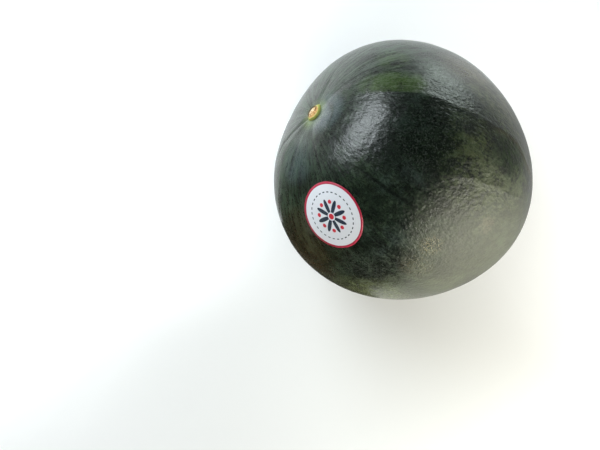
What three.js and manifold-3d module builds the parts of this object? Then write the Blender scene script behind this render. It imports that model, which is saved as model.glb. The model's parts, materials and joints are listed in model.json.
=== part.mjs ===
// A seedless watermelon, whole, lying on its side on the patch of skin it grew on.
// Millimetres and degrees, +Z up. The stem end points along -X and upwards, and the
// origin is the middle of the footprint, level with the flat resting spot.
//
// Three pieces: the fruit, the corky stub that is left of its stem, and a round paper
// label stuck on its skin.
//
// The fruit is drawn round its own axis first, stem end up along +Z. A direction is then
// a slope (the angle down from the stem) and a heading (the angle round the stem), with
// heading 0 on the side that ends up on top.

import * as THREE from "three";
import { mergeVertices } from "three/addons/utils/BufferGeometryUtils.js";
import Module from "manifold-3d";

// Driving dimensions.
const MEAN_RADIUS = 110.5;
const STEM_ELEVATION = 37; // how far the stem end points above the horizon
const LOBES = { count: 3, height: 4.25, heading: -9 }; // one swelling for each seed chamber
const OVAL = { height: 1.3, heading: 113 }; // the girth is slightly out of round
const STEM_END = { depth: 4.7, spread: 30 }; // both ends are flattened
const BLOSSOM_END = { depth: 4.75, spread: 38 };
const STEM_DIMPLE = { depth: 1.6, spread: 7 }; // the small hollow that the stem grew from
const GROUND_DROP = 103.5; // from the fruit's middle down to the flat resting spot
const RESTING_SPOT_RADIUS = 20;
const UNDERSIDE_CURVE_RADIUS = 300; // round the spot the skin is much flatter than elsewhere

const STUB = { radius: 8.6, seatDepth: 1.6, rimHeight: 2.1, faceDepth: 0.9 };
const LABEL = { radius: 29, thickness: 0.3, slope: 48.6, heading: -66.3 };
const GAP = 0.3; // clearance between pieces

// How finely the faces are cut.
const HEADING_STEPS = 64;
const SLOPE_STEPS = 44;
const LABEL_RINGS = 5;
const LABEL_SECTORS = 40;
const STUB_SECTORS = 24;

const rad = THREE.MathUtils.degToRad;

const wasm = await Module();
wasm.setup();

// ---------------------------------------------------------------- the fruit's shape

// The way down to the ground, seen in the fruit's own frame.
const tilt = rad(STEM_ELEVATION - 90);
const down = new THREE.Vector3(0, 0, -1).applyAxisAngle(new THREE.Vector3(0, 1, 0), -tilt);

// A bell curve of the angle from a pole: 1 at the pole, fading over the spread.
const fade = (angle, spread) => Math.exp(-((angle / rad(spread)) ** 2));

// The skin's distance from the fruit's middle, before the ground flattens it.
function skinRadius(slope, heading) {
  const girth = Math.sin(slope) ** 2;
  return (
    MEAN_RADIUS +
    girth * LOBES.height * Math.cos(LOBES.count * (heading - rad(LOBES.heading))) +
    girth * OVAL.height * Math.cos(2 * (heading - rad(OVAL.heading))) -
    STEM_END.depth * fade(slope, STEM_END.spread) -
    STEM_DIMPLE.depth * fade(slope, STEM_DIMPLE.spread) -
    BLOSSOM_END.depth * fade(Math.PI - slope, BLOSSOM_END.spread)
  );
}

// How far down the skin may reach at a distance from the plumb line: a wide shallow bowl,
// which passes the depth of the resting spot at the spot's edge.
const undersideDepth = (distance) =>
  GROUND_DROP + (RESTING_SPOT_RADIUS ** 2 - distance ** 2) / (2 * UNDERSIDE_CURVE_RADIUS);

// The skin in a direction from the fruit's middle, lifted off it by an offset.
function skinPoint(direction, offset = 0) {
  const slope = Math.acos(THREE.MathUtils.clamp(direction.z, -1, 1));
  const heading = Math.atan2(direction.y, direction.x);
  const point = direction.clone().multiplyScalar(skinRadius(slope, heading) + offset);
  const depth = point.dot(down);
  const distance = Math.sqrt(Math.max(0, point.lengthSq() - depth ** 2));
  const pressedIn = Math.max(0, depth - undersideDepth(distance));
  return point.addScaledVector(down, -pressedIn);
}

// ---------------------------------------------------------------- solids and meshes

function solidOf(geometry) {
  const bare = geometry.clone();
  bare.deleteAttribute("normal");
  bare.deleteAttribute("uv");
  const merged = mergeVertices(bare, 1e-4);
  return new wasm.Manifold(
    new wasm.Mesh({
      numProp: 3,
      vertProperties: merged.attributes.position.array,
      triVerts: new Uint32Array(merged.index.array),
    }),
  );
}

function geometryOf(solid) {
  const cut = solid.getMesh();
  const geometry = new THREE.BufferGeometry();
  geometry.setAttribute("position", new THREE.BufferAttribute(cut.vertProperties, 3));
  geometry.setIndex(new THREE.BufferAttribute(cut.triVerts, 1));
  geometry.computeVertexNormals();
  return geometry;
}

function piece(name, geometry, look) {
  const mesh = new THREE.Mesh(geometry, new THREE.MeshStandardMaterial(look));
  mesh.name = name;
  return mesh;
}

// A shape turned about the stem axis, from a profile of [radius, height] pairs.
function turned(profile, sectors) {
  const points = profile.map(([radius, height]) => new THREE.Vector2(radius, height));
  return new THREE.LatheGeometry(points, sectors).rotateX(Math.PI / 2);
}

// ---------------------------------------------------------------- the pieces

const seatHeight = skinRadius(0, 0) - STUB.seatDepth;

// The fruit: one solid, with the resting spot cut flat and a shallow seat for the stub.
function makeFruit() {
  const ball = new THREE.SphereGeometry(1, HEADING_STEPS, SLOPE_STEPS).rotateX(Math.PI / 2);
  const place = ball.attributes.position;
  for (let i = 0; i < place.count; i++) {
    const skin = skinPoint(new THREE.Vector3().fromBufferAttribute(place, i).normalize());
    place.setXYZ(i, skin.x, skin.y, skin.z);
  }

  const slabSize = 2 * MEAN_RADIUS;
  const ground = new THREE.BoxGeometry(slabSize, slabSize, slabSize);
  ground.translate(0, 0, -GROUND_DROP - slabSize / 2).rotateY(-tilt);

  const seatRadius = STUB.radius + GAP;
  const mouth = seatHeight + 2 * STUB.radius;
  const seat = turned(
    [
      [0, seatHeight],
      [seatRadius, seatHeight],
      [seatRadius, mouth],
      [0, mouth],
    ],
    STUB_SECTORS,
  );
  const solid = solidOf(ball).subtract(solidOf(ground)).subtract(solidOf(seat));
  return piece("fruit", geometryOf(solid), { color: 0x202b20, roughness: 0.35, metalness: 0 });
}

// The stem stub: a low corky button with a swollen collar and a dished, broken face.
function makeStub() {
  const { radius, seatDepth, rimHeight, faceDepth } = STUB;
  const foot = seatHeight + GAP;
  const rim = seatHeight + seatDepth + rimHeight;
  const stub = turned(
    [
      [0, foot],
      [0.94 * radius, foot],
      [radius, foot + 0.2 * rimHeight],
      [radius, rim - 0.5 * rimHeight],
      [0.88 * radius, rim],
      [0.74 * radius, rim],
      [0.64 * radius, rim - faceDepth],
      [0, rim - faceDepth],
    ],
    STUB_SECTORS,
  );
  return piece("stem_stub", stub, { color: 0xb2935c, roughness: 0.85, metalness: 0 });
}

// The label: a thin disc that follows the skin, made of an outer and an inner sheet of
// rings round the label's middle, and a rim that joins them.
function makeLabel() {
  const middle = new THREE.Vector3().setFromSphericalCoords(
    1,
    rad(LABEL.slope),
    rad(90 + LABEL.heading),
  );
  middle.set(middle.x, -middle.z, middle.y);
  const across = new THREE.Vector3(0, 0, 1).cross(middle).normalize();
  const along = middle.clone().cross(across);
  const reach = LABEL.radius / MEAN_RADIUS;

  const places = [];
  const faces = [];
  for (const offset of [GAP + LABEL.thickness, GAP]) {
    places.push(...skinPoint(middle, offset).toArray());
    for (let ring = 1; ring <= LABEL_RINGS; ring++)
      for (let sector = 0; sector < LABEL_SECTORS; sector++) {
        const bend = (reach * ring) / LABEL_RINGS;
        const turn = (2 * Math.PI * sector) / LABEL_SECTORS;
        const direction = middle
          .clone()
          .multiplyScalar(Math.cos(bend))
          .addScaledVector(across, Math.sin(bend) * Math.cos(turn))
          .addScaledVector(along, Math.sin(bend) * Math.sin(turn));
        places.push(...skinPoint(direction, offset).toArray());
      }
  }

  const sheetSize = 1 + LABEL_RINGS * LABEL_SECTORS;
  const at = (sheet, ring, sector) =>
    sheet * sheetSize + 1 + (ring - 1) * LABEL_SECTORS + (sector % LABEL_SECTORS);
  for (let sector = 0; sector < LABEL_SECTORS; sector++) {
    faces.push(0, at(0, 1, sector), at(0, 1, sector + 1));
    faces.push(sheetSize, at(1, 1, sector + 1), at(1, 1, sector));
    for (let ring = 1; ring < LABEL_RINGS; ring++) {
      const outer = [at(0, ring, sector), at(0, ring + 1, sector)];
      const outerNext = [at(0, ring, sector + 1), at(0, ring + 1, sector + 1)];
      faces.push(outer[0], outer[1], outerNext[1], outer[0], outerNext[1], outerNext[0]);
      const inner = outer.map((corner) => corner + sheetSize);
      const innerNext = outerNext.map((corner) => corner + sheetSize);
      faces.push(inner[0], innerNext[1], inner[1], inner[0], innerNext[0], innerNext[1]);
    }
    const edge = [at(0, LABEL_RINGS, sector), at(0, LABEL_RINGS, sector + 1)];
    const under = edge.map((corner) => corner + sheetSize);
    faces.push(edge[0], under[0], under[1], edge[0], under[1], edge[1]);
  }

  const sheet = new THREE.BufferGeometry();
  sheet.setAttribute("position", new THREE.Float32BufferAttribute(places, 3));
  sheet.setIndex(faces);
  sheet.computeVertexNormals();
  return piece("label", sheet, { color: 0xe6e7ec, roughness: 0.45, metalness: 0 });
}

// ---------------------------------------------------------------- the watermelon

// The fruit's own frame is tipped until its stem end points along -X and upwards, and
// raised to stand on its resting spot.
const lying = new THREE.Group();
lying.rotation.y = tilt;
lying.position.z = GROUND_DROP;
lying.add(makeFruit(), makeStub(), makeLabel());

const watermelon = new THREE.Group();
watermelon.add(lying);

// The middle of the footprint goes to the origin.
watermelon.updateMatrixWorld(true);
const middle = new THREE.Box3().setFromObject(watermelon, true).getCenter(new THREE.Vector3());
lying.position.x -= middle.x;
lying.position.y -= middle.y;

export default watermelon;
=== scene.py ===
import json
import math

import bpy
from mathutils import Matrix, Vector
from mathutils.bvhtree import BVHTree


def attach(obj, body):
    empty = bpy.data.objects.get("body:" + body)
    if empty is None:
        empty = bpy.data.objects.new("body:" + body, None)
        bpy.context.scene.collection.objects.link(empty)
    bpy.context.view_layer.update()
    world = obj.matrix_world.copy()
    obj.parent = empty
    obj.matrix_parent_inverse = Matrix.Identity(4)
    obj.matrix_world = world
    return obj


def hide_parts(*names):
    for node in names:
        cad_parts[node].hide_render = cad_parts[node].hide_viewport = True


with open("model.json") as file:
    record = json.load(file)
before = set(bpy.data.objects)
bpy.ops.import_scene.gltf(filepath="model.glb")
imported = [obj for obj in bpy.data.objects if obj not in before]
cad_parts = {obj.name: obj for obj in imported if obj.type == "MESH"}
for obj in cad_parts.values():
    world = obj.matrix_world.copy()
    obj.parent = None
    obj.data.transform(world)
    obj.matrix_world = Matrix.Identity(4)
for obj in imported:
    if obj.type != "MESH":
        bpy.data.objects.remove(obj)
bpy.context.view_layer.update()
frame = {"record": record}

MM = 0.001


# ---------------------------------------------------------------------------------------
# The fruit: a firm rind round the flesh, grown as one body and softly three-lobed, one
# swelling for each seed chamber. It lies on its side, stem end up and to the left, on the
# flattened patch of skin that it grew on. Shallow creases run out from the stem.
# ---------------------------------------------------------------------------------------

MEAN_RADIUS = 110.5 * MM
STEM_ELEVATION = math.radians(37)
LOBE_COUNT = 3
LOBE_HEIGHT = 4.25 * MM
LOBE_HEADING = math.radians(-9)
OVAL_HEIGHT = 1.3 * MM
OVAL_HEADING = math.radians(113)
STEM_END_DEPTH = 4.7 * MM
STEM_END_SPREAD = math.radians(30)
STEM_DIMPLE_DEPTH = 1.6 * MM
STEM_DIMPLE_SPREAD = math.radians(7)
BLOSSOM_END_DEPTH = 4.75 * MM
BLOSSOM_END_SPREAD = math.radians(38)
GROUND_DROP = 103.5 * MM
RESTING_SPOT_RADIUS = 20 * MM
UNDERSIDE_CURVE_RADIUS = 300 * MM
UNDERSIDE_BLEND = 3 * MM
SQUARES_ALONG_EDGE = 120
DRAWN_TO_STEM = 0.35

# The skin's soft swells and dents: their height, and how broad each is as a share of the
# fruit's radius.
UNEVENNESS = 0.55 * MM
SWELL_BREADTH = 0.42
DENT_BREADTH = 0.11

# The fruit's middle is straight above the middle of its resting spot.
rest_spot = next(m for m in frame["record"]["mounts"] if m["name"] == "rest_spot")
fruit_middle = Vector(rest_spot["pos_m"]) + Vector((0, 0, GROUND_DROP))
tilt = STEM_ELEVATION - math.pi / 2
stem_frame = Matrix.Translation(fruit_middle) @ Matrix.Rotation(tilt, 4, "Y")

# The creases that run out from the stem: heading round the stem and reach down the side in
# degrees, depth and half width in millimetres. A negative depth is a raised rib. They
# wander sideways a little, and the folds less.
STEM_CREASES = [
    dict(heading=96, depth=0.9, width=2.2, reach=24),
    dict(heading=74, depth=-0.3, width=3.2, reach=18),
    dict(heading=54, depth=0.5, width=3.2, reach=20),
    dict(heading=8, depth=0.35, width=3.0, reach=18),
    dict(heading=-30, depth=0.3, width=3.2, reach=20),
    dict(heading=-66, depth=0.4, width=2.2, reach=13),
    dict(heading=-104, depth=0.35, width=2.6, reach=15),
    dict(heading=-128, depth=-0.4, width=2.6, reach=20),
    dict(heading=-143, depth=0.75, width=1.7, reach=34),
    dict(heading=176, depth=0.6, width=2.6, reach=22),
    dict(heading=137, depth=0.5, width=2.8, reach=24),
]
CREASE_WANDER = 0.22
FOLD_WANDER = 0.35 * CREASE_WANDER
WANDER_BREADTH = 0.16
STUB_CORNER = math.radians(72)

# The long folds between the seed chambers: a low crest of skin along a path of slopes and
# headings in degrees, with its height in millimetres and how far it spreads each way. A
# negative height is a groove. Sharpness is how strongly the fine relief repeats the crest.
UPPER_FOLD = dict(
    path=[(12, 30), (42, 25.3), (80, 21.5), (99, 22.3), (112, 17), (130, 15)],
    height=0.50,
    width=8,
    sharpness=1.0,
)
LOWER_FOLD = dict(
    path=[(66, -12), (74, -8), (82, -5.4), (97, -2.8), (124, 3)],
    height=0.48,
    width=5.5,
    sharpness=2.4,
)
GROOVE = dict(
    path=[(37, -31.5), (43, -30.9), (54, -30), (64, -28.6), (75, -26.5)],
    height=-0.22,
    width=2.5,
    sharpness=4.0,
)
NEAR_FOLDS = [UPPER_FOLD, LOWER_FOLD, GROOVE]
FAR_FOLDS = [
    dict(path=[(24, -112), (60, -116), (128, -120)], height=0.35, width=9),
    dict(path=[(30, 150), (60, 156), (120, 160), (135, 160)], height=0.4, width=9),
]

# A band across the skin beside the stem, kept clear of blue wax and bloom: a painted dark
# reflection of the dark gap between the glowing table and the softbox.
DARK_REFLECTION_BAND = dict(path=[(6, 60), (11, 18), (16, -36), (30, -52)], width=4)


class Field:
    """A number that varies over a surface. Arithmetic on it adds Math nodes to its tree."""

    def __init__(self, tree, socket):
        self.tree = tree
        self.socket = socket

    def math(self, operation, *others):
        node = self.tree.nodes.new("ShaderNodeMath")
        node.operation = operation
        for socket, value in zip(node.inputs, (self, *others)):
            if isinstance(value, Field):
                self.tree.links.new(value.socket, socket)
            else:
                socket.default_value = value
        return Field(self.tree, node.outputs[0])

    def __add__(self, other):
        return self.math("ADD", other)

    def __sub__(self, other):
        return self.math("SUBTRACT", other)

    def __rsub__(self, other):
        return self.math("MULTIPLY", -1) + other

    def __mul__(self, other):
        return self.math("MULTIPLY", other)

    def __truediv__(self, other):
        return self.math("DIVIDE", other)

    __radd__ = __add__

    def squared(self):
        return self * self

    def sine(self):
        return self.math("SINE")

    def cosine(self):
        return self.math("COSINE")

    def at_least(self, least):
        return self.math("MAXIMUM", least)

    def at_most(self, most):
        return self.math("MINIMUM", most)

    def bell(self, spread):
        """1 where the field is 0, fading to nothing over the spread."""
        return (self / spread).squared().math("MULTIPLY", -1).math("EXPONENT")

    def ramp(self, start, end):
        """A soft step from 0 at start to 1 at end."""
        node = self.tree.nodes.new("ShaderNodeMapRange")
        node.interpolation_type = "SMOOTHSTEP"
        self.tree.links.new(self.socket, node.inputs["Value"])
        node.inputs["From Min"].default_value = start
        node.inputs["From Max"].default_value = end
        return Field(self.tree, node.outputs["Result"])


def split(tree, vector):
    """The three numbers in a vector socket."""
    node = tree.nodes.new("ShaderNodeSeparateXYZ")
    tree.links.new(vector, node.inputs[0])
    return [Field(tree, socket) for socket in node.outputs]


def join(*fields):
    """The vector socket made of three numbers."""
    tree = next(f.tree for f in fields if isinstance(f, Field))
    node = tree.nodes.new("ShaderNodeCombineXYZ")
    for socket, value in zip(node.inputs, fields):
        if isinstance(value, Field):
            tree.links.new(value.socket, socket)
        else:
            socket.default_value = value
    return node.outputs[0]


def diagonal(*sides):
    """The straight distance across a box with these sides."""
    total = sides[0].squared()
    for side in sides[1:]:
        total = total + side.squared()
    return total.math("SQRT")


def noise(tree, vector, size, detail=2.0, roughness=0.5, distortion=0.0, seed=0.0):
    """Soft clouds from 0 to 1, a size across, in the units of the vector."""
    node = tree.nodes.new("ShaderNodeTexNoise")
    node.noise_dimensions = "4D"
    tree.links.new(vector, node.inputs["Vector"])
    if isinstance(seed, Field):
        tree.links.new(seed.socket, node.inputs["W"])
    else:
        node.inputs["W"].default_value = seed
    node.inputs["Scale"].default_value = 1 / size
    node.inputs["Detail"].default_value = detail
    node.inputs["Roughness"].default_value = roughness
    node.inputs["Distortion"].default_value = distortion
    return Field(tree, node.outputs["Fac"])


def beside(slope, heading, centre):
    """How far a place is from a line down the fruit, in millimetres, and 1 on its side."""
    off = heading - centre
    return slope.sine() * off.sine() * (MEAN_RADIUS / MM), off.cosine().ramp(0.0, 0.5)


def fold_crest(slope, heading, fold, width=None):
    """1 along a fold, falling away sharply to both sides and softly at its ends."""
    stops = [(math.radians(s), math.radians(h)) for s, h in fold["path"]]
    centre = stops[0][1]
    for (before, here), (after, there) in zip(stops, stops[1:]):
        centre = slope.ramp(before, after) * (there - here) + centre
    aside, this_side = beside(slope, heading, centre)
    rounding = 0.8
    near_crest = (aside.squared() + rounding).math("SQRT") * (-1 / (width or fold["width"]))
    fading = slope.ramp(stops[0][0], stops[1][0]) * (1 - slope.ramp(stops[-2][0], stops[-1][0]))
    return near_crest.math("EXPONENT") * this_side * fading


FRUIT_SIZES = {
    "Mean Radius": MEAN_RADIUS,
    "Lobe Height": LOBE_HEIGHT,
    "Lobe Heading": LOBE_HEADING,
    "Oval Height": OVAL_HEIGHT,
    "Oval Heading": OVAL_HEADING,
    "Stem End Depth": STEM_END_DEPTH,
    "Stem Dimple Depth": STEM_DIMPLE_DEPTH,
    "Blossom End Depth": BLOSSOM_END_DEPTH,
    "Ground Drop": GROUND_DROP,
    "Unevenness": UNEVENNESS,
    "Seed": 3.0,
}


def ball_of_squares(tree):
    """A cube of squares that stay even once it is blown into a ball, and the ball's places."""
    cube = tree.nodes.new("GeometryNodeMeshCube")
    cube.inputs["Size"].default_value = (2, 2, 2)
    for axis in "XYZ":
        cube.inputs[f"Vertices {axis}"].default_value = SQUARES_ALONG_EDGE + 1
    corner = split(tree, tree.nodes.new("GeometryNodeInputPosition").outputs[0])
    evened = [(part * (math.pi / 4)).math("TANGENT") for part in corner]
    blown = tree.nodes.new("ShaderNodeVectorMath")
    blown.operation = "NORMALIZE"
    tree.links.new(join(*evened), blown.inputs[0])
    return cube.outputs["Mesh"], split(tree, blown.outputs[0])


def swollen_radius(tree, size, slope, heading, way):
    """How far the skin is from the middle: the lobes, the ends and the soft unevenness."""
    girth = slope.sine().squared()
    lobes = size["Lobe Height"] * ((heading - size["Lobe Heading"]) * LOBE_COUNT).cosine()
    oval = size["Oval Height"] * ((heading - size["Oval Heading"]) * 2).cosine()
    stem_end = size["Stem End Depth"] * slope.bell(STEM_END_SPREAD)
    dimple = size["Stem Dimple Depth"] * slope.bell(STEM_DIMPLE_SPREAD)
    blossom_end = size["Blossom End Depth"] * (math.pi - slope).bell(BLOSSOM_END_SPREAD)
    radius = size["Mean Radius"] + girth * (lobes + oval) - stem_end - dimple - blossom_end
    swells = noise(tree, way, SWELL_BREADTH, detail=1.0, seed=size["Seed"]) - 0.5
    dents = noise(tree, way, DENT_BREADTH, detail=2.0, seed=size["Seed"] + 7) - 0.5
    return radius + size["Unevenness"] * (swells * 2 + dents * 0.7)


def folded_relief(tree, size, slope, heading, way):
    """How far the creases round the stem and the long folds raise the skin or sink it."""
    astray = noise(tree, way, WANDER_BREADTH, seed=size["Seed"] + 21) - 0.5
    relief = 0
    for crease in STEM_CREASES:
        centre = math.radians(crease["heading"])
        aside, this_side = beside(slope, heading + astray * CREASE_WANDER, centre)
        fading = slope.bell(math.radians(crease["reach"])) * this_side
        relief = aside.bell(crease["width"]) * fading * (-crease["depth"] * MM) + relief
    for fold in NEAR_FOLDS + FAR_FOLDS:
        crest = fold_crest(slope, heading + astray * FOLD_WANDER, fold)
        relief = crest * (fold["height"] * MM) + relief
    return relief


def set_down(tree, size, upright):
    """The place once the fruit is tipped onto its side and pressed flat on the ground."""
    tipped = tree.nodes.new("ShaderNodeVectorRotate")
    tipped.rotation_type = "Y_AXIS"
    tree.links.new(upright, tipped.inputs["Vector"])
    tipped.inputs["Angle"].default_value = tilt
    x, y, z = split(tree, tipped.outputs[0])
    aside_squared = x.squared() + y.squared()
    spare = (RESTING_SPOT_RADIUS**2 - aside_squared) / (2 * UNDERSIDE_CURVE_RADIUS)
    allowed = size["Ground Drop"] + spare
    depth = (z * -1).math("SMOOTH_MIN", allowed, UNDERSIDE_BLEND).at_most(size["Ground Drop"])
    return join(x + fruit_middle.x, y + fruit_middle.y, size["Ground Drop"] - depth)


def grown_fruit_tree():
    """A ball of even squares, drawn out into the fruit's shape and set down on its patch."""
    tree = bpy.data.node_groups.new("grown_fruit", "GeometryNodeTree")
    for name in FRUIT_SIZES:
        tree.interface.new_socket(name, in_out="INPUT", socket_type="NodeSocketFloat")
    tree.interface.new_socket("Skin", in_out="INPUT", socket_type="NodeSocketMaterial")
    tree.interface.new_socket("Fruit", in_out="OUTPUT", socket_type="NodeSocketGeometry")
    given = tree.nodes.new("NodeGroupInput")
    size = {name: Field(tree, given.outputs[name]) for name in FRUIT_SIZES}

    # Slope is the angle down from the stem, heading the angle round it. The squares are
    # drawn towards the stem, where the creases need them.
    ball, (x, y, z) = ball_of_squares(tree)
    angle = z.math("ARCCOSINE")
    slope = angle - angle.sine() * DRAWN_TO_STEM
    heading = y.math("ARCTAN2", x)
    flat_x = slope.sine() * heading.cosine()
    flat_y = slope.sine() * heading.sine()
    along = slope.cosine()
    on_skin = (tree, size, slope, heading, join(flat_x, flat_y, along))
    radius = swollen_radius(*on_skin) + folded_relief(*on_skin)
    upright = join(flat_x * radius, flat_y * radius, along * radius)

    shaped = tree.nodes.new("GeometryNodeSetPosition")
    tree.links.new(ball, shaped.inputs["Geometry"])
    tree.links.new(set_down(tree, size, upright), shaped.inputs["Position"])
    smooth = tree.nodes.new("GeometryNodeSetShadeSmooth")
    tree.links.new(shaped.outputs[0], smooth.inputs["Geometry"])
    real = tree.nodes.new("GeometryNodeRealizeInstances")
    tree.links.new(smooth.outputs[0], real.inputs[0])
    skinned = tree.nodes.new("GeometryNodeSetMaterial")
    tree.links.new(real.outputs[0], skinned.inputs["Geometry"])
    tree.links.new(given.outputs["Skin"], skinned.inputs["Material"])
    result = tree.nodes.new("NodeGroupOutput")
    tree.links.new(skinned.outputs[0], result.inputs["Fruit"])
    return tree


def new_material(name):
    """An empty material: its tree, its shader and itself."""
    material = bpy.data.materials.new(name)
    material.use_nodes = True
    tree = material.node_tree
    return material, tree, tree.nodes["Principled BSDF"]


def own_place(tree):
    """The place on the object, in metres."""
    return tree.nodes.new("ShaderNodeTexCoord").outputs["Object"]


def place_from_stem(tree):
    """The place on the piece in millimetres from the fruit's middle, stem along +Z."""
    turned = tree.nodes.new("ShaderNodeMapping")
    turned.vector_type = "TEXTURE"
    turned.inputs["Location"].default_value = fruit_middle
    turned.inputs["Rotation"].default_value = (0, tilt, 0)
    turned.inputs["Scale"].default_value = (MM, MM, MM)
    tree.links.new(own_place(tree), turned.inputs["Vector"])
    return turned.outputs[0]


def mixed(tree, mask, colour, other):
    """Colour where the mask is 0, the other where it is 1. Either may be a socket."""
    node = tree.nodes.new("ShaderNodeMix")
    node.data_type = "RGBA"
    tree.links.new(mask.socket, node.inputs[0])
    for socket, value in zip(node.inputs[6:8], (colour, other)):
        if isinstance(value, tuple):
            socket.default_value = (*value, 1)
        else:
            tree.links.new(value, socket)
    return node.outputs[2]


def bump(tree, height, distance, below=None):
    """The normal of a surface raised by a share of the distance, on top of the one below."""
    node = tree.nodes.new("ShaderNodeBump")
    node.inputs["Distance"].default_value = distance
    tree.links.new(height.socket, node.inputs["Height"])
    if below is not None:
        tree.links.new(below, node.inputs["Normal"])
    return node.outputs[0]


# The rind's colours: its pigments, its wax and dust, and its worn and sunless places.
NEAR_BLACK = (0.0020, 0.0040, 0.0023)
DEEP_GREEN = (0.0170, 0.0285, 0.0100)
OLIVE = (0.037, 0.049, 0.018)
FADED_GREEN = (0.022, 0.042, 0.016)
LEAF_GREEN = (0.035, 0.062, 0.010)
MOSS = (0.110, 0.130, 0.055)
PALE_MOSS = (0.30, 0.33, 0.18)
FROST = (0.17, 0.19, 0.17)
DUST = (0.185, 0.19, 0.105)
BROWN = (0.050, 0.032, 0.010)
BLOOM = (0.095, 0.18, 0.10)
WARM_BLOOM = (0.245, 0.255, 0.175)
BLUE_WAX = (0.16, 0.22, 0.26)
HALO = (0.22, 0.29, 0.10)
ROSE = (0.36, 0.25, 0.19)
TAN = (0.40, 0.35, 0.20)
GROUND_YELLOW = (0.56, 0.49, 0.24)
SCAR = (0.15, 0.115, 0.06)

# Spots on the skin: slope and heading in degrees, how many degrees from there the effect is
# still full and is gone, and its strength.
GREEN_SPOTS = [(46, 33, 3, 9, 1), (37, 35, 3, 9, 1), (29, 38, 1, 7, 0.6)]
RUSTY_SPOTS = [(53, -94, 2, 14, 1), (63, -90, 1, 8, 1)]
DEEP_SPOTS = [
    (49, 3, 8, 25, 0.65),
    (78, 24, 4, 13, 0.5),
    (92, 12, 3, 12, 0.5),
    (52, -43, 2, 12, 0.4),
    (100, 18, 3, 10, 0.8),
    (31, -83, 2, 7, 0.8),
    (65, -61, 2, 8, 0.7),
]
HAZY_SPOTS = [(50, 12, 3, 14, 1), (55, -19, 3, 15, 1), (66, -48, 4, 16, 1)]
BLOTS = [
    (73, 14, 1, 5, 1),
    (83.5, 22, 1, 5, 1),
    (95.5, 7, 1, 5.5, 1),
    (76.5, 29, 1, 5, 1),
    (90, 13.5, 1, 7, 1),
]
SPECKLED_SPOTS = [(84, -37.8, 0.5, 6.0, 1), (88, -50, 2, 9, 0.4)]
DULL_SPOTS = [(57, 3, 6, 18, 1.3), (98, 14, 3, 12, 1), (28, -10, 3, 11, 0.35), (65, -61, 2, 8, 1)]
PITTED_SPOTS = [(82, -34, 6, 42, 1.3), (69, 33, 3, 15, 0.6), (80, 8, 6, 30, 0.9)]


class SkinMap:
    """Where a place is on the skin, and the patterns that the layers of the skin share."""

    def __init__(self, tree):
        self.tree = tree
        self.place = place_from_stem(tree)
        x, y, z = split(tree, self.place)
        away = diagonal(x, y, z)
        self.unit = (x / away, y / away, z / away)
        self.slope = self.unit[2].math("ARCCOSINE")
        self.heading = y.math("ARCTAN2", x)
        self.ring = diagonal(x, y).at_least(0.5)
        self.round_way = (x / self.ring, y / self.ring)

        self.clouds = self.spread(24, detail=3, roughness=0.6, distortion=0.6, seed=1)
        self.mottle = self.spread(7, detail=5, roughness=0.72, seed=2)
        self.grain = self.stretched(2.0, 2.4, detail=3, roughness=0.7, seed=3)
        self.fibre = self.stretched(5.5, 34, detail=3, roughness=0.6, distortion=0.4, seed=4)
        self.hairs = self.stretched(1.9, 26, detail=2, roughness=0.6, distortion=0.3, seed=14)

        self.deep = self.near_any(DEEP_SPOTS)
        self.sunny = self.round_way[0].ramp(0.30, 0.95)
        high = 1 - self.slope.ramp(math.radians(40), math.radians(95))
        self.stem_side = high * (1 - self.sunny * 0.8)
        blossom_side = self.unit[2].ramp(-0.9, -0.7)
        self.from_scar = self.ring + (self.mottle - 0.5) * 3.0 + blossom_side * 50

    def near(self, slope, heading, full_to, gone_by):
        """1 near a spot on the skin, fading between two angles from it."""
        s, h = math.radians(slope), math.radians(heading)
        spot = (math.sin(s) * math.cos(h), math.sin(s) * math.sin(h), math.cos(s))
        x, y, z = self.unit
        towards = x * spot[0] + y * spot[1] + z * spot[2]
        return towards.ramp(math.cos(math.radians(gone_by)), math.cos(math.radians(full_to)))

    def near_any(self, spots):
        """What is near each spot, times its strength, all added up."""
        total = 0
        for *spot, strength in spots:
            total = self.near(*spot) * strength + total
        return total

    def spread(self, size, **look):
        """A pattern of one size all over, in millimetres."""
        return noise(self.tree, self.place, size, **look)

    def stretched(self, girth_size, length, **look):
        """A pattern with these sizes at the girth, drawn finer and longer near the stem."""
        turns = MEAN_RADIUS / MM / girth_size
        down = self.slope * (MEAN_RADIUS / MM / length)
        way = join(self.round_way[0] * turns, self.round_way[1] * turns, down)
        return noise(self.tree, way, 1.0, **look)


class Paint:
    """Colour on a surface. Each new coat covers the last one where its mask is 1."""

    def __init__(self, tree, colour):
        self.tree = tree
        self.colour = colour

    def coat(self, mask, colour):
        self.colour = mixed(self.tree, mask, self.colour, colour)


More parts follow.
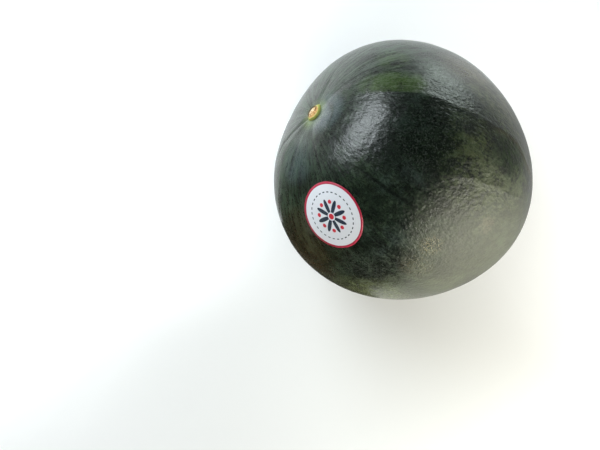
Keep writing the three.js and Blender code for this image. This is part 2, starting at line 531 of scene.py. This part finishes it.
def lay_pigment(paint, skin):
    """Where the near-black pigment is thin, the green underneath shows through."""
    near, clouds, mottle, grain, fibre = skin.near, skin.clouds, skin.mottle, skin.grain, skin.fibre
    thin = near(88, 6, 8, 30) * 0.12 + near(52, -42, 6, 24) * 0.04
    green = (clouds * 0.5 + mottle * 0.7 + grain * 0.3 + thin * 0.5).ramp(0.66, 1.00)
    paint.coat(green, DEEP_GREEN)
    olive_side = near(90, 4, 8, 33) * 0.85 + 0.15
    paint.coat((mottle * 0.65 + grain * 0.35 + thin).ramp(0.53, 0.65) * olive_side, OLIVE)

    above_fold = (skin.heading - math.radians(24.5)).ramp(0.0, math.radians(1.6))
    patchy = (mottle * 0.6 + clouds * 0.4).ramp(0.30, 0.55)
    paint.coat(skin.near_any(GREEN_SPOTS).at_most(1) * patchy * above_fold, LEAF_GREEN)
    paint.coat(near(42.5, 60, 2, 9) * mottle.ramp(0.35, 0.6) * 0.8, LEAF_GREEN)

    mossy = near(96, -86, 6, 21) * (mottle * 0.6 + fibre * 0.4).ramp(0.34, 0.60)
    paint.coat(mossy * 0.85, MOSS)
    frosty = near(80, -66, 4, 20) * (mottle * 0.5 + grain * 0.5).ramp(0.42, 0.60)
    paint.coat(frosty * 0.18, FROST)
    pale_rim = near(107, -72, 3, 34) + (mottle - 0.5) * 0.9 + (clouds - 0.5) * 0.6
    pale_rim = pale_rim.ramp(0.20, 1.10) * (grain * 0.5 + 0.6)
    paint.coat(pale_rim * 0.17, PALE_MOSS)
    rusty = skin.near_any(RUSTY_SPOTS).at_most(1) * (mottle * 0.5 + fibre * 0.5).ramp(0.35, 0.65)
    paint.coat(rusty * 0.8, BROWN)
    paint.coat(skin.deep.at_most(0.8), NEAR_BLACK)


def lay_bloom(paint, skin):
    """Bloom: the thin wax that rubs off. It lies thickest in the streaks and low down.

    Gives back the bloom and the dust on the low side, which make the skin less smooth.
    """
    near, clouds, mottle, grain = skin.near, skin.clouds, skin.mottle, skin.grain
    fibre, hairs, deep = skin.fibre, skin.hairs, skin.deep
    # The band is left darker: painted dark reflection of the gap between the table's glow and the
    # softbox.
    band = fold_crest(skin.slope, skin.heading, DARK_REFLECTION_BAND)
    shoulder = near(8, 6, 2, 12) + near(22, -96, 3, 13) * hairs.ramp(0.35, 0.6) * 0.8
    paint.coat(shoulder * (1 - band) * 0.25, BLUE_WAX)

    haze = (clouds * 0.5 + mottle * 0.3 + grain * 0.2).ramp(0.46, 0.62) * (1 - deep.at_most(1))
    paint.coat(haze * (skin.near_any(HAZY_SPOTS) * 0.08 + 0.035), BLUE_WAX)
    streaky = (fibre * 0.65 + hairs * 0.35 + (mottle - 0.5) * 0.3).ramp(0.37, 0.66)
    bloom = streaky * skin.stem_side * 0.26 + (mottle * 0.6 + grain * 0.4).ramp(0.48, 0.70) * 0.03
    paint.coat(bloom * (1 - deep * 0.7) * (1 - band * 0.6), BLOOM)

    dust = near(102, -26, 11, 46) + (mottle - 0.5) * 0.8 + (grain - 0.5) * 0.5
    dust = dust.ramp(0.25, 1.10) * (grain * 0.9 + mottle * 0.5 + 0.2)
    dust = dust * 0.235 + near(106, -36, 8, 34) * (grain * 0.5 + 0.25) * 0.11
    paint.coat(dust, WARM_BLOOM)
    dusty_top = near(87, 46, 6, 22) * (mottle * 0.7 + grain * 0.3).ramp(0.42, 0.58)
    paint.coat(dusty_top * 0.35, DUST)
    paint.coat(near(76, 54, 3, 17) * fibre * 0.25, ROSE)
    return bloom, dust


def stain_stem_end(paint, skin):
    """A brown stain on one side of the stub, and a yellow-green halo along its corners."""
    stem_end = skin.unit[2].ramp(0.0, 0.5)
    from_corner = skin.heading - STUB_CORNER
    stained = (1 - skin.ring.ramp(8.0, 12.0)) * (from_corner - 1.4).cosine().ramp(0.2, 0.9)
    paint.coat(stained * stem_end * 0.6, BROWN)
    corners = (from_corner + 0.17).cosine().squared().squared() * 0.7 + 0.3
    halo = (1 - skin.ring.ramp(7.5, 17.0)) * stem_end * corners * skin.fibre.ramp(0.2, 0.5)
    paint.coat(halo * 0.55, HALO)


def wear_skin(paint, skin):
    """Combed streaks on the top and the sunny rim, and painted shade: dark lines in the groove and
    under a fold.
    """
    near, mottle, hairs = skin.near, skin.mottle, skin.hairs
    combing = skin.fibre * 0.55 + hairs * 0.45
    top_side = near(45, 66, 8, 34) * 0.8
    paint.coat(top_side * combing.ramp(0.46, 0.60) * 0.30, FROST)
    paint.coat(top_side * (1 - combing.ramp(0.38, 0.50)) * 0.8, NEAR_BLACK)
    rim_side = near(84, 26, 8, 34) * (1 - skin.deep.at_most(1) * 0.7)
    rim_combing = hairs * 0.5 + skin.grain * 0.5
    paint.coat(rim_side * rim_combing.ramp(0.48, 0.62) * 0.22, DUST)
    paint.coat(rim_side * (1 - rim_combing.ramp(0.38, 0.50)) * 0.4, NEAR_BLACK)

    # Painted shade: a near-black line along the bottom of the groove.
    groove_shade = fold_crest(skin.slope, skin.heading + (mottle - 0.5) * 0.05, GROOVE, width=1.4)
    paint.coat(groove_shade.ramp(0.12, 0.45) * 0.80, NEAR_BLACK)
    # Painted shade: a brown line just under the upper fold's crest, on its far part.
    fold_underside_shade = fold_crest(skin.slope, skin.heading + math.radians(1.3), UPPER_FOLD, width=1.5)
    far_part = skin.slope.ramp(math.radians(76), math.radians(88))
    paint.coat(fold_underside_shade * far_part * 0.7, BROWN)


def mark_skin(paint, skin):
    """Dark blots, fine scuffs, a rubbed rosy spot, dry tan specks and a faded green side."""
    near, clouds, mottle, grain = skin.near, skin.clouds, skin.mottle, skin.grain
    blots = skin.near_any(BLOTS).at_most(1) * (mottle * 0.6 + skin.fibre * 0.4).ramp(0.34, 0.52)
    blotchy = near(80, 10, 10, 34) * (1 - (mottle * 0.6 + clouds * 0.4).ramp(0.40, 0.54))
    paint.coat((blots * 0.7 + blotchy * 0.45).at_most(0.85), NEAR_BLACK)
    scuffs = skin.spread(1.1, detail=2, roughness=0.65, seed=15).ramp(0.50, 0.64)
    paint.coat(scuffs * (near(66, 2, 6, 27) * 0.9 + 0.1) * 0.18, FROST)
    paint.coat(near(98, -18, 0.2, 5) * grain.ramp(0.35, 0.65) * 0.16, ROSE)
    paint.coat(skin.spread(1.3, detail=1, seed=8).ramp(0.60, 0.72) * 0.10, BLOOM)

    speckled = skin.near_any(SPECKLED_SPOTS)
    paint.coat(speckled * skin.spread(0.9, detail=1, seed=9).ramp(0.50, 0.62) * 0.6, TAN)
    gaps = 1 - skin.spread(1.1, detail=1, seed=10).ramp(0.38, 0.48)
    paint.coat(speckled * gaps * 0.75, NEAR_BLACK)
    faded = near(96, 12, 3, 15) * (mottle * 0.7 + grain * 0.3).ramp(0.44, 0.60)
    paint.coat(faded * 0.6, FADED_GREEN)


def lay_ground_patch(paint, skin):
    """The patch it grew on, never reached by the sun, and the scar the blossom left."""
    ground = skin.near(127, 180, 12, 42) + (skin.clouds - 0.5) * 0.8 + (skin.mottle - 0.5) * 0.4
    paint.coat(ground.ramp(0.20, 1.00) * 0.92, GROUND_YELLOW)
    paint.coat((1 - skin.from_scar.ramp(4.5, 8.0)) * 0.8, SCAR)
    paint.coat((1 - skin.from_scar.ramp(1.0, 3.0)) * 0.8, BROWN)


def skin_relief(tree, skin):
    """Fine relief: dents, hammering, combed streaks, pores, the folds' crests and the scar."""
    near, slope = skin.near, skin.slope
    pitted_side = slope.ramp(math.radians(12), math.radians(34)) * (0.5 + skin.sunny * 0.5)
    pitted_side = pitted_side + skin.near_any(PITTED_SPOTS)
    dented = skin.spread(6.5, detail=1, roughness=0.5, seed=16) * near(32, 0, 10, 34)
    hammered = skin.stretched(2.8, 3.6, detail=1, roughness=0.5, seed=5) * pitted_side
    upper_side = 1 + skin.round_way[1].ramp(0.3, 0.9) * 0.8
    combed_side = skin.stem_side * upper_side + near(58, 42, 6, 26) * 0.8
    combed = (skin.fibre + skin.hairs * 0.5) * combed_side
    pores = skin.stretched(1.5, 1.7, detail=2, roughness=0.6, seed=6) * (pitted_side + 0.2)
    crests = 0
    for fold in NEAR_FOLDS:
        crest = fold_crest(slope, skin.heading, fold, width=2.2)
        crests = crest * (fold["height"] * fold["sharpness"]) + crests

    normal = bump(tree, dented, 0.5 * MM)
    normal = bump(tree, hammered, 0.34 * MM, normal)
    normal = bump(tree, combed, 0.26 * MM, normal)
    normal = bump(tree, pores, 0.15 * MM, normal)
    normal = bump(tree, crests, 0.6 * MM, normal)
    return bump(tree, skin.from_scar.ramp(2.0, 5.0), 0.6 * MM, normal)


def make_rind():
    """Waxy rind: near-black green, mottled and streaked, under a thin grey bloom."""
    material, tree, shader = new_material("rind")
    skin = SkinMap(tree)
    paint = Paint(tree, NEAR_BLACK)
    lay_pigment(paint, skin)
    bloom, dust = lay_bloom(paint, skin)
    stain_stem_end(paint, skin)
    wear_skin(paint, skin)
    mark_skin(paint, skin)
    lay_ground_patch(paint, skin)
    tree.links.new(paint.colour, shader.inputs["Base Color"])

    dry_side = (skin.unit[0] * 0.8 - skin.unit[2] * 0.5 + skin.clouds * 0.3).ramp(0.45, 1.0)
    rough = skin.grain.ramp(0.3, 0.7) * 0.08 + bloom * 0.2 + dry_side * 0.20 + dust * 0.4 + 0.23
    tree.links.new(rough.socket, shader.inputs["Roughness"])
    shine = 0.5 - skin.near_any(DULL_SPOTS) * 0.24
    tree.links.new(shine.socket, shader.inputs["Specular IOR Level"])
    shader.inputs["IOR"].default_value = 1.46
    tree.links.new(skin_relief(tree, skin), shader.inputs["Normal"])
    return material


def placed(name, data):
    """A new object that holds this data, put into the scene."""
    thing = bpy.data.objects.new(name, data)
    bpy.context.scene.collection.objects.link(thing)
    return thing


def grown_mesh(name, tree, values):
    """The plain mesh that a geometry node tree makes with these inputs, on a new object."""
    piece = placed(name, bpy.data.meshes.new(name))
    growth = piece.modifiers.new("growth", "NODES")
    growth.node_group = tree
    for socket in tree.interface.items_tree:
        if socket.in_out == "INPUT":
            growth[socket.identifier] = values[socket.name]
    evaluated = piece.evaluated_get(bpy.context.evaluated_depsgraph_get())
    grown = bpy.data.meshes.new_from_object(evaluated)
    piece.modifiers.clear()
    piece.data = grown
    grown.name = name
    return piece


fruit = grown_mesh("melon", grown_fruit_tree(), {**FRUIT_SIZES, "Skin": make_rind()})
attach(fruit, "root")
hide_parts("fruit")


# ---------------------------------------------------------------------------------------
# The stem stub: what is left where the stem broke off. A swollen yellow-green collar runs
# round a dished face of dry cork, pitted where the stem's vessels ended.
# ---------------------------------------------------------------------------------------

FOOT_RADIUS = 7.4 * MM
FOOT_OFFSET = 1.2 * MM
CORNER_REACH = 1.5 * MM
FACE_RADIUS = 5.4 * MM
FACE_OFFSET = 2.0 * MM
ALONG_OFFSET = 0.8 * MM
FACE_SHARE = 0.62
FACE_HEIGHT = 1.0 * MM
LIP_HEIGHT = 0.7 * MM
LIP_SHARE = 0.25
ROOT_DEPTH = 1.4 * MM
STUB_RINGS = 48
STUB_SECTORS = 96
STEM_AXIS_SKIN = MEAN_RADIUS - STEM_END_DEPTH - STEM_DIMPLE_DEPTH

# The pits in the face: the place across and along it, the radius and the depth, all in
# millimetres from the middle of the face. Along is towards the upper corner of the stub.
PITS = [
    (0.3, 3.5, 0.85, 0.9),
    (-0.3, 1.9, 0.6, 0.6),
    (1.5, -3.1, 0.6, 0.5),
    (-2.3, -0.4, 0.5, 0.35),
]

stub_along = Vector((math.cos(STUB_CORNER), math.sin(STUB_CORNER)))
stub_across = Vector((-stub_along.y, stub_along.x))


def polar_mesh(name, rings, sectors, front_at, back_at, material):
    """A closed disc: a front and a back of rings round a middle, which meet at the rim.

    Its map "disc" runs from 0 at the middle to 1 at the rim.
    """
    turns = [2 * math.pi * sector / sectors for sector in range(sectors)]
    shares = [ring / rings for ring in range(1, rings + 1)]
    points = [front_at(0, 0)] + [front_at(share, turn) for share in shares for turn in turns]
    spots = [(0, 0)] + [(r * math.cos(t), r * math.sin(t)) for r in shares for t in turns]
    back = len(points)
    points.append(back_at(0, 0))
    points += [back_at(share, turn) for share in shares[:-1] for turn in turns]
    spots += spots[: len(points) - back]

    faces = []
    for sector in range(sectors):
        following = (sector + 1) % sectors
        faces.append((0, 1 + sector, 1 + following))
        faces.append((back, back + 1 + following, back + 1 + sector))
        for ring in range(rings - 1):
            inner = 1 + ring * sectors
            outer = inner + sectors
            faces.append((inner + sector, outer + sector, outer + following, inner + following))
            inner += back
            outer = outer + back if ring < rings - 2 else outer
            faces.append((inner + following, outer + following, outer + sector, inner + sector))
    mesh = bpy.data.meshes.new(name)
    mesh.from_pydata(points, [], faces)
    mesh.materials.append(material)
    mesh.polygons.foreach_set("use_smooth", [True] * len(faces))
    disc = mesh.uv_layers.new(name="disc")
    for loop, corner in zip(mesh.loops, disc.data):
        corner.uv = spots[loop.vertex_index]
    return placed(name, mesh)


def disc_map(tree):
    """The two numbers of a disc's own map."""
    disc = tree.nodes.new("ShaderNodeUVMap")
    disc.uv_map = "disc"
    return split(tree, disc.outputs[0])[:2]


def make_cork():
    """Dry pitted cork on the face with pale patches that are partly a painted highlight, a green
    lip and collar round it, browned on one side, and painted shade at its foot.
    """
    CORK = (0.50, 0.27, 0.075)
    CORK_PALE_HIGHLIGHT = (0.95, 0.76, 0.50)
    CORK_DARK = (0.075, 0.035, 0.012)
    LIP = (0.52, 0.46, 0.17)
    COLLAR = (0.34, 0.35, 0.07)
    COLLAR_FOOT_SHADE = (0.09, 0.12, 0.035)
    BROWN_EDGE = (0.085, 0.050, 0.024)
    material, tree, shader = new_material("stem_cork")
    place = place_from_stem(tree)
    u, v = disc_map(tree)
    share = diagonal(u, v)
    across = (u * stub_across.x + v * stub_across.y) / share.at_least(0.01)
    x, y, _ = split(tree, place)
    face_across = x * stub_across.x + y * stub_across.y - FACE_OFFSET / MM
    face_along = x * stub_along.x + y * stub_along.y - ALONG_OFFSET / MM
    grain = noise(tree, place, 1.0, detail=3, roughness=0.6, seed=11)
    lumps = noise(tree, place, 2.0, detail=2, seed=12)

    # Pale cork patches, partly a painted highlight: they grow towards the side of the face that
    # looks to the softbox.
    pale_highlit = (lumps * 0.4 + grain * 0.6 + face_across * 0.03).ramp(0.54, 0.64)
    cork = mixed(tree, pale_highlit, CORK, CORK_PALE_HIGHLIGHT)
    cork = mixed(tree, (grain * 0.7 + lumps * 0.3).ramp(0.34, 0.50), CORK_DARK, cork)
    for pit_across, pit_along, radius, _ in PITS:
        off = diagonal(face_across - pit_across, face_along - pit_along)
        cork = mixed(tree, off.bell(radius), cork, CORK_DARK)
    edge = share + (lumps - 0.5) * 0.12
    paint = Paint(tree, cork)
    paint.coat(edge.ramp(FACE_SHARE - 0.03, FACE_SHARE + 0.03), LIP)
    paint.coat(edge.ramp(FACE_SHARE + 0.06, FACE_SHARE + 0.14), COLLAR)
    # Painted shade where the stub's foot meets the skin.
    paint.coat(edge.ramp(0.84, 0.98), COLLAR_FOOT_SHADE)
    browned = across.ramp(0.0, 0.7) * edge.ramp(FACE_SHARE - 0.12, FACE_SHARE + 0.02)
    paint.coat(browned * 0.9, BROWN_EDGE)
    tree.links.new(paint.colour, shader.inputs["Base Color"])
    shader.inputs["Roughness"].default_value = 0.72
    tree.links.new(bump(tree, grain, 0.3 * MM), shader.inputs["Normal"])
    return material


def stub_outline(share, turn):
    """The flat place on the stub, from the middle of its face (0) to its foot (1)."""
    way = Vector((math.cos(turn), math.sin(turn)))
    corner = max(0.0, math.cos(2 * (turn - STUB_CORNER))) ** 4
    uneven = 0.25 * math.sin(2 * turn + 1.1) + 0.2 * math.sin(3 * turn + 4.0)
    middle = stub_along * ALONG_OFFSET
    foot = stub_across * FOOT_OFFSET + way * (FOOT_RADIUS + corner * CORNER_REACH + uneven * MM)
    face_edge = way * (FACE_RADIUS + (0.3 * math.sin(3 * turn + 0.6) + uneven) * MM)
    if share < FACE_SHARE:
        return middle + stub_across * FACE_OFFSET + face_edge * (share / FACE_SHARE)
    outward = (share - FACE_SHARE) / (1 - FACE_SHARE)
    return middle + (stub_across * FACE_OFFSET + face_edge).lerp(foot, outward)


def stub_front(share, turn):
    """The dished and pitted face, the lip round it and the fall to the foot."""
    flat = stub_outline(share, turn)
    outward = (share - FACE_SHARE) / (1 - FACE_SHARE)
    height = FACE_HEIGHT
    if outward < 0:
        across = (flat.dot(stub_across) - FACE_OFFSET) / MM
        along = (flat.dot(stub_along) - ALONG_OFFSET) / MM
        height += 0.10 * MM * math.sin(2.9 * across + 0.7) * math.sin(2.3 * along + 1.9)
        height += 0.09 * MM * math.sin(1.7 * across - 2.6 * along)
        for pit_across, pit_along, radius, depth in PITS:
            off = ((across - pit_across) ** 2 + (along - pit_along) ** 2) / radius**2
            height -= depth * MM * math.exp(-off)
    elif outward < LIP_SHARE:
        height += LIP_HEIGHT * math.sin(outward / LIP_SHARE * math.pi / 2)
    else:
        fall = (outward - LIP_SHARE) / (1 - LIP_SHARE)
        height += LIP_HEIGHT - (FACE_HEIGHT + LIP_HEIGHT + ROOT_DEPTH) * fall**1.7
    return stem_frame @ Vector((flat.x, flat.y, STEM_AXIS_SKIN + height))


def stub_back(share, turn):
    """The flat underside, sunk in the fruit."""
    flat = stub_outline(share, turn)
    return stem_frame @ Vector((flat.x, flat.y, STEM_AXIS_SKIN - ROOT_DEPTH))


stub = polar_mesh("stem_remnant", STUB_RINGS, STUB_SECTORS, stub_front, stub_back, make_cork())
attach(stub, "root")
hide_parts("stem_stub")


# ---------------------------------------------------------------------------------------
# The label: a disc of coated paper, stuck flat on the skin. Its edge puckers a little,
# because paper can't follow a ball. A red rim and a plain printed ornament, no lettering.
# ---------------------------------------------------------------------------------------

LABEL_RADIUS = 29 * MM
LABEL_SLOPE = math.radians(48.6)
LABEL_HEADING = math.radians(-66.3)
LABEL_FRONT = 0.22 * MM
LABEL_BACK = 0.04 * MM
PUCKER = 0.12 * MM
PUCKER_START = 0.8
LABEL_RINGS = 24
LABEL_SECTORS = 120

# The print, in millimetres from the label's middle.
HEART_RADIUS = 2.5
PETAL_COUNT = 8
PETAL_START = 3.6
PETAL_ROOT = 3.4
PETAL_LENGTH = 11.5
DOT_CIRCLE = 12.5
DOT_RADIUS = 1.7
DASH_CIRCLE = 20.5
DASH_HALF_WIDTH = 0.45
DASH_COUNT = 30
RED_RIM_START = 26.9
SOFT_EDGE = 0.15


def make_label_paper():
    """White coated paper, printed with a rosette of petals and dots inside a dashed ring."""
    PAPER = (0.80, 0.81, 0.85)
    RED = (0.66, 0.015, 0.035)
    RIM_RED = (0.44, 0.014, 0.050)
    NAVY = (0.010, 0.020, 0.045)
    material, tree, shader = new_material("label_paper")
    u, v = disc_map(tree)
    ring = diagonal(u, v) * (LABEL_RADIUS / MM)
    turn = v.math("ARCTAN2", u)

    def inked(depth):
        """1 where a place is inside a printed shape, soft at the shape's edge."""
        return depth.ramp(-SOFT_EDGE, SOFT_EDGE)

    paint = Paint(tree, PAPER)
    petals = (turn * (PETAL_COUNT / 2)).cosine().squared() * PETAL_LENGTH + PETAL_ROOT
    paint.coat(inked(petals - ring), NAVY)
    paint.coat(inked(PETAL_START - ring), PAPER)
    from_gap = ((turn * PETAL_COUNT).cosine() + 1) / (PETAL_COUNT**2 / 2)
    from_dot = ((ring - DOT_CIRCLE).squared() + ring.squared() * from_gap).math("SQRT")
    paint.coat((inked(DOT_RADIUS - from_dot) + inked(HEART_RADIUS - ring)).at_most(1), RED)
    band = inked(DASH_HALF_WIDTH - (ring - DASH_CIRCLE).math("ABSOLUTE"))
    paint.coat(band * (turn * DASH_COUNT).cosine().ramp(-0.2, 0.2), NAVY)
    paint.coat(inked(ring - RED_RIM_START), RIM_RED)
    tree.links.new(paint.colour, shader.inputs["Base Color"])
    shader.inputs["Roughness"].default_value = 0.42
    return material


fruit_surface = BVHTree.FromObject(fruit, bpy.context.evaluated_depsgraph_get())


def skin_towards(way):
    """The place on the skin in a direction from the fruit's middle, and its normal."""
    outside = fruit_middle + way * MEAN_RADIUS * 1.5
    place, normal, _, _ = fruit_surface.ray_cast(outside, -way)
    return place, normal


turned_to_stem = stem_frame.to_3x3()
flat_way = Vector((math.cos(LABEL_HEADING), math.sin(LABEL_HEADING))) * math.sin(LABEL_SLOPE)
label_middle, label_normal = skin_towards(
    turned_to_stem @ Vector((flat_way.x, flat_way.y, math.cos(LABEL_SLOPE)))
)
label_way = (label_middle - fruit_middle).normalized()
stem_way = turned_to_stem @ Vector((0, 0, 1))
label_across = stem_way.cross(label_normal).normalized()
label_along = label_normal.cross(label_across)


def above_skin(share, turn, lift):
    """A place over the skin, a share of the label's radius from the label's middle."""
    bend = share * LABEL_RADIUS / MEAN_RADIUS
    side = label_across * math.cos(turn) + label_along * math.sin(turn)
    place, normal = skin_towards((label_way * math.cos(bend) + side * math.sin(bend)).normalized())
    return place + normal * lift


def label_front(share, turn):
    """The printed face, puckered in waves near the rim."""
    wave = max(0.0, math.cos(13 * turn + 2 * math.sin(3 * turn)))
    rim_share = max(0.0, share - PUCKER_START) / (1 - PUCKER_START)
    return above_skin(share, turn, LABEL_FRONT + PUCKER * wave * rim_share)


def label_back(share, turn):
    """The glued side, just clear of the skin."""
    return above_skin(share, turn, LABEL_BACK)


paper = make_label_paper()
label = polar_mesh("round_label", LABEL_RINGS, LABEL_SECTORS, label_front, label_back, paper)
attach(label, "root")
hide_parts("label")


# ---------------------------------------------------------------------------------------
# The studio: a white table seen from above, a softbox beyond the table on the left, a
# broad warm panel on the near right, and a low strip at the far right.
# ---------------------------------------------------------------------------------------

CAMERA_AZIMUTH = math.radians(23)
CAMERA_ELEVATION = math.radians(78)
CAMERA_DEPTH = 1.0
CAMERA_LENS = 70
SENSOR_WIDTH = 36
FRAME_WIDTH, FRAME_HEIGHT = 600, 450
FRUIT_PIXEL = (403.3, 172.5)

camera_back = Vector(
    (
        math.sin(CAMERA_AZIMUTH) * math.cos(CAMERA_ELEVATION),
        -math.cos(CAMERA_AZIMUTH) * math.cos(CAMERA_ELEVATION),
        math.sin(CAMERA_ELEVATION),
    )
)
camera_right = Vector((math.cos(CAMERA_AZIMUTH), math.sin(CAMERA_AZIMUTH), 0))
camera_up = camera_back.cross(camera_right)

camera_data = bpy.data.cameras.new("camera")
camera_data.lens = CAMERA_LENS
camera_data.sensor_width = SENSOR_WIDTH
camera = placed("camera", camera_data)
bpy.context.scene.camera = camera
pixel = CAMERA_DEPTH * SENSOR_WIDTH / CAMERA_LENS / FRAME_WIDTH
aside = (FRUIT_PIXEL[0] - FRAME_WIDTH / 2) * pixel
above = (FRAME_HEIGHT / 2 - FRUIT_PIXEL[1]) * pixel
eye = fruit_middle - camera_right * aside - camera_up * above + camera_back * CAMERA_DEPTH
turned = Matrix((camera_right, camera_up, camera_back)).transposed().to_4x4()
camera.matrix_world = Matrix.Translation(eye) @ turned

# The cloths: headings in the camera's view, 0 right and 90 up, distances and heights in
# metres. Soft edges are shares of the cloth: left, right, bottom, top.
CLOTHS = [
    dict(
        name="softbox",
        heading=142,
        distance=0.70,
        bottom=0.36,
        top=0.86,
        width=1.10,
        radiance=15.2,
        colour=(0.88, 0.96, 1.0),
        soft=(0.37, 0.37, 0.42, 0.42),
    ),
    dict(
        name="near_panel",
        heading=-46,
        distance=0.55,
        bottom=0.01,
        top=0.64,
        width=0.90,
        radiance=7.4,
        colour=(1.0, 0.985, 0.88),
        soft=(0.2, 0.25, 0.08, 0.6),
    ),
    dict(
        name="low_strip_far",
        heading=62.5,
        distance=0.80,
        bottom=0.02,
        top=0.35,
        width=0.48,
        radiance=7.3,
        colour=(0.87, 1.0, 0.95),
        soft=(0.35, 0.25, 0.3, 0.4),
    ),
]


def view_way(heading):
    """The level direction at a heading in the camera's view."""
    angle = math.radians(heading) + CAMERA_AZIMUTH
    return Vector((math.cos(angle), math.sin(angle), 0))


def make_cloth(name, radiance, colour, soft):
    """A glow that is dimmer towards the cloth's soft edges, and no colour of its own."""
    material, tree, shader = new_material(name)
    cloth = tree.nodes.new("ShaderNodeUVMap")
    cloth.uv_map = "cloth"
    u, v, _ = split(tree, cloth.outputs[0])
    left, right, low, high = soft
    glow = u.ramp(0, left) * (1 - u.ramp(1 - right, 1))
    glow = glow * v.ramp(0, low) * (1 - v.ramp(1 - high, 1))
    tree.links.new((glow * radiance).socket, shader.inputs["Emission Strength"])
    shader.inputs["Emission Color"].default_value = (*colour, 1)
    shader.inputs["Base Color"].default_value = (0, 0, 0, 1)
    shader.inputs["Specular IOR Level"].default_value = 0
    return material


def hang_cloth(name, heading, distance, bottom, top, width, **glow):
    """An upright glowing cloth that leans to face the fruit."""
    out = view_way(heading)
    across = Vector((-out.y, out.x, 0)) * (width / 2)
    middle = Vector((fruit_middle.x, fruit_middle.y, (bottom + top) / 2)) + out * distance
    towards = (fruit_middle - middle).normalized()
    up = towards.cross(across).normalized()
    up *= 1 if up.z > 0 else -1
    rise = up * (top - bottom) / 2
    corners = [(0, 0), (1, 0), (1, 1), (0, 1)]
    mesh = bpy.data.meshes.new(name)
    places = [middle + across * (2 * u - 1) + rise * (2 * v - 1) for u, v in corners]
    mesh.from_pydata(places, [], [(0, 1, 2, 3)])
    uv = mesh.uv_layers.new(name="cloth")
    for loop, corner in zip(uv.data, corners):
        loop.uv = corner
    mesh.materials.append(make_cloth(name, **glow))
    panel = placed(name, mesh)
    panel.visible_camera = False
    panel.visible_shadow = False


for cloth in CLOTHS:
    hang_cloth(**cloth)

# A dark card stands where a second thing on the table would be, with a dark flap on the table in
# front of it: painted shade, standing for the floor in shadow beside the fruit. Only reflections
# show them.
CARD_HEADING = 215
CARD_DISTANCE = 0.135
CARD_OUTLINE = [
    (-0.20, 0, 0.002),
    (0.20, 0, 0.002),
    (0.20, 0, 0.160),
    (0.06, 0, 0.160),
    (0.00, 0, 0.130),
    (-0.06, 0, 0.164),
    (-0.10, 0, 0.160),
    (-0.20, 0, 0.100),
]
SHADE_FLAP_OUTLINE = [
    (-0.05, 0.001, 0.002),
    (0.11, 0.001, 0.002),
    (0.085, 0.05, 0.002),
    (0.05, 0.10, 0.002),
    (0.0, 0.105, 0.002),
    (-0.04, 0.06, 0.002),
]


def make_board():
    """Dull board: pale at one end, then grey-green, reddish brown and dark. Its flap is dark,
    painted shade for the shaded floor beside the fruit.
    """
    GREY_GREEN = (0.20, 0.21, 0.14)
    DARK = (0.06, 0.06, 0.04)
    REDDISH = (0.17, 0.09, 0.03)
    PALE = (0.60, 0.61, 0.58)
    FLAP_SHADE_DARK = (0.06, 0.055, 0.035)
    material, tree, shader = new_material("dark_board")
    along, _, up = split(tree, own_place(tree))
    colour = mixed(tree, along.ramp(0.02, 0.08), GREY_GREEN, DARK)
    middle = along.ramp(-0.08, -0.01) * (1 - along.ramp(0.02, 0.07))
    colour = mixed(tree, middle, colour, REDDISH)
    colour = mixed(tree, along.ramp(-0.13, -0.04), PALE, colour)
    # The flap on the table is painted shade.
    colour = mixed(tree, up.ramp(0.003, 0.010), FLAP_SHADE_DARK, colour)
    tree.links.new(colour, shader.inputs["Base Color"])
    shader.inputs["Roughness"].default_value = 0.9
    return material


card_mesh = bpy.data.meshes.new("dark_card")
card_points = len(CARD_OUTLINE)
shade_flap_face = range(card_points, card_points + len(SHADE_FLAP_OUTLINE))
card_mesh.from_pydata(CARD_OUTLINE + SHADE_FLAP_OUTLINE, [], [range(card_points), shade_flap_face])
card_mesh.materials.append(make_board())
card = placed("dark_card", card_mesh)
card.location = Vector((fruit_middle.x, fruit_middle.y, 0)) + view_way(CARD_HEADING) * CARD_DISTANCE
card.rotation_euler.z = math.radians(CARD_HEADING) + CAMERA_AZIMUTH + math.pi / 2
card.visible_camera = False
card.visible_diffuse = False
card.visible_shadow = False

world = bpy.data.worlds.new("studio")
bpy.context.scene.world = world
world.use_nodes = True
sky = world.node_tree.nodes["Background"]
sky.inputs["Color"].default_value = (0.9, 0.95, 1.0, 1)
sky.inputs["Strength"].default_value = 0.05

# The table glows softly all over, more or less in some spots: the heading and distance of
# the spot's middle, how far from it the change is still full and is gone, and its strength.
TABLE_HALF_WIDTH = 4.0
TABLE_GLOW = 0.16
TABLE_SPOTS = [
    (152, 0.83, 0.28, 0.77, 1.72),
    (48, 0.90, 0.30, 0.80, 0.2),
    (243, 0.20, 0.05, 0.30, -0.16),
    (170, 0.21, 0.04, 0.18, 0.25),
    (24, 0.70, 0.15, 0.45, -0.18),
    (-5, 0.22, 0.04, 0.18, 0.22),
    (14, 0.48, 0.05, 0.22, -0.2),
    (225, 0.42, 0.10, 0.40, 0.06),
]


def make_laminate():
    """White laminate, lit from below where the spots are."""
    material, tree, shader = new_material("table_white")
    x, y, _ = split(tree, own_place(tree))
    glow = TABLE_GLOW
    for heading, distance, full_to, gone_by, strength in TABLE_SPOTS:
        spot = view_way(heading) * distance
        from_spot = diagonal(x - spot.x, y - spot.y)
        glow = (1 - from_spot.ramp(full_to, gone_by)) * strength + glow
    tree.links.new(glow.socket, shader.inputs["Emission Strength"])
    shader.inputs["Emission Color"].default_value = (1, 1, 1, 1)
    shader.inputs["Base Color"].default_value = (0.76, 0.76, 0.76, 1)
    shader.inputs["Roughness"].default_value = 0.8
    return material


table_mesh = bpy.data.meshes.new("table")
table_corners = [
    (side_x * TABLE_HALF_WIDTH, side_y * TABLE_HALF_WIDTH, 0)
    for side_x, side_y in ((-1, -1), (1, -1), (1, 1), (-1, 1))
]
table_mesh.from_pydata(table_corners, [], [(0, 1, 2, 3)])
table_mesh.materials.append(make_laminate())
table = placed("table", table_mesh)

bpy.context.scene.view_settings.view_transform = "Standard"
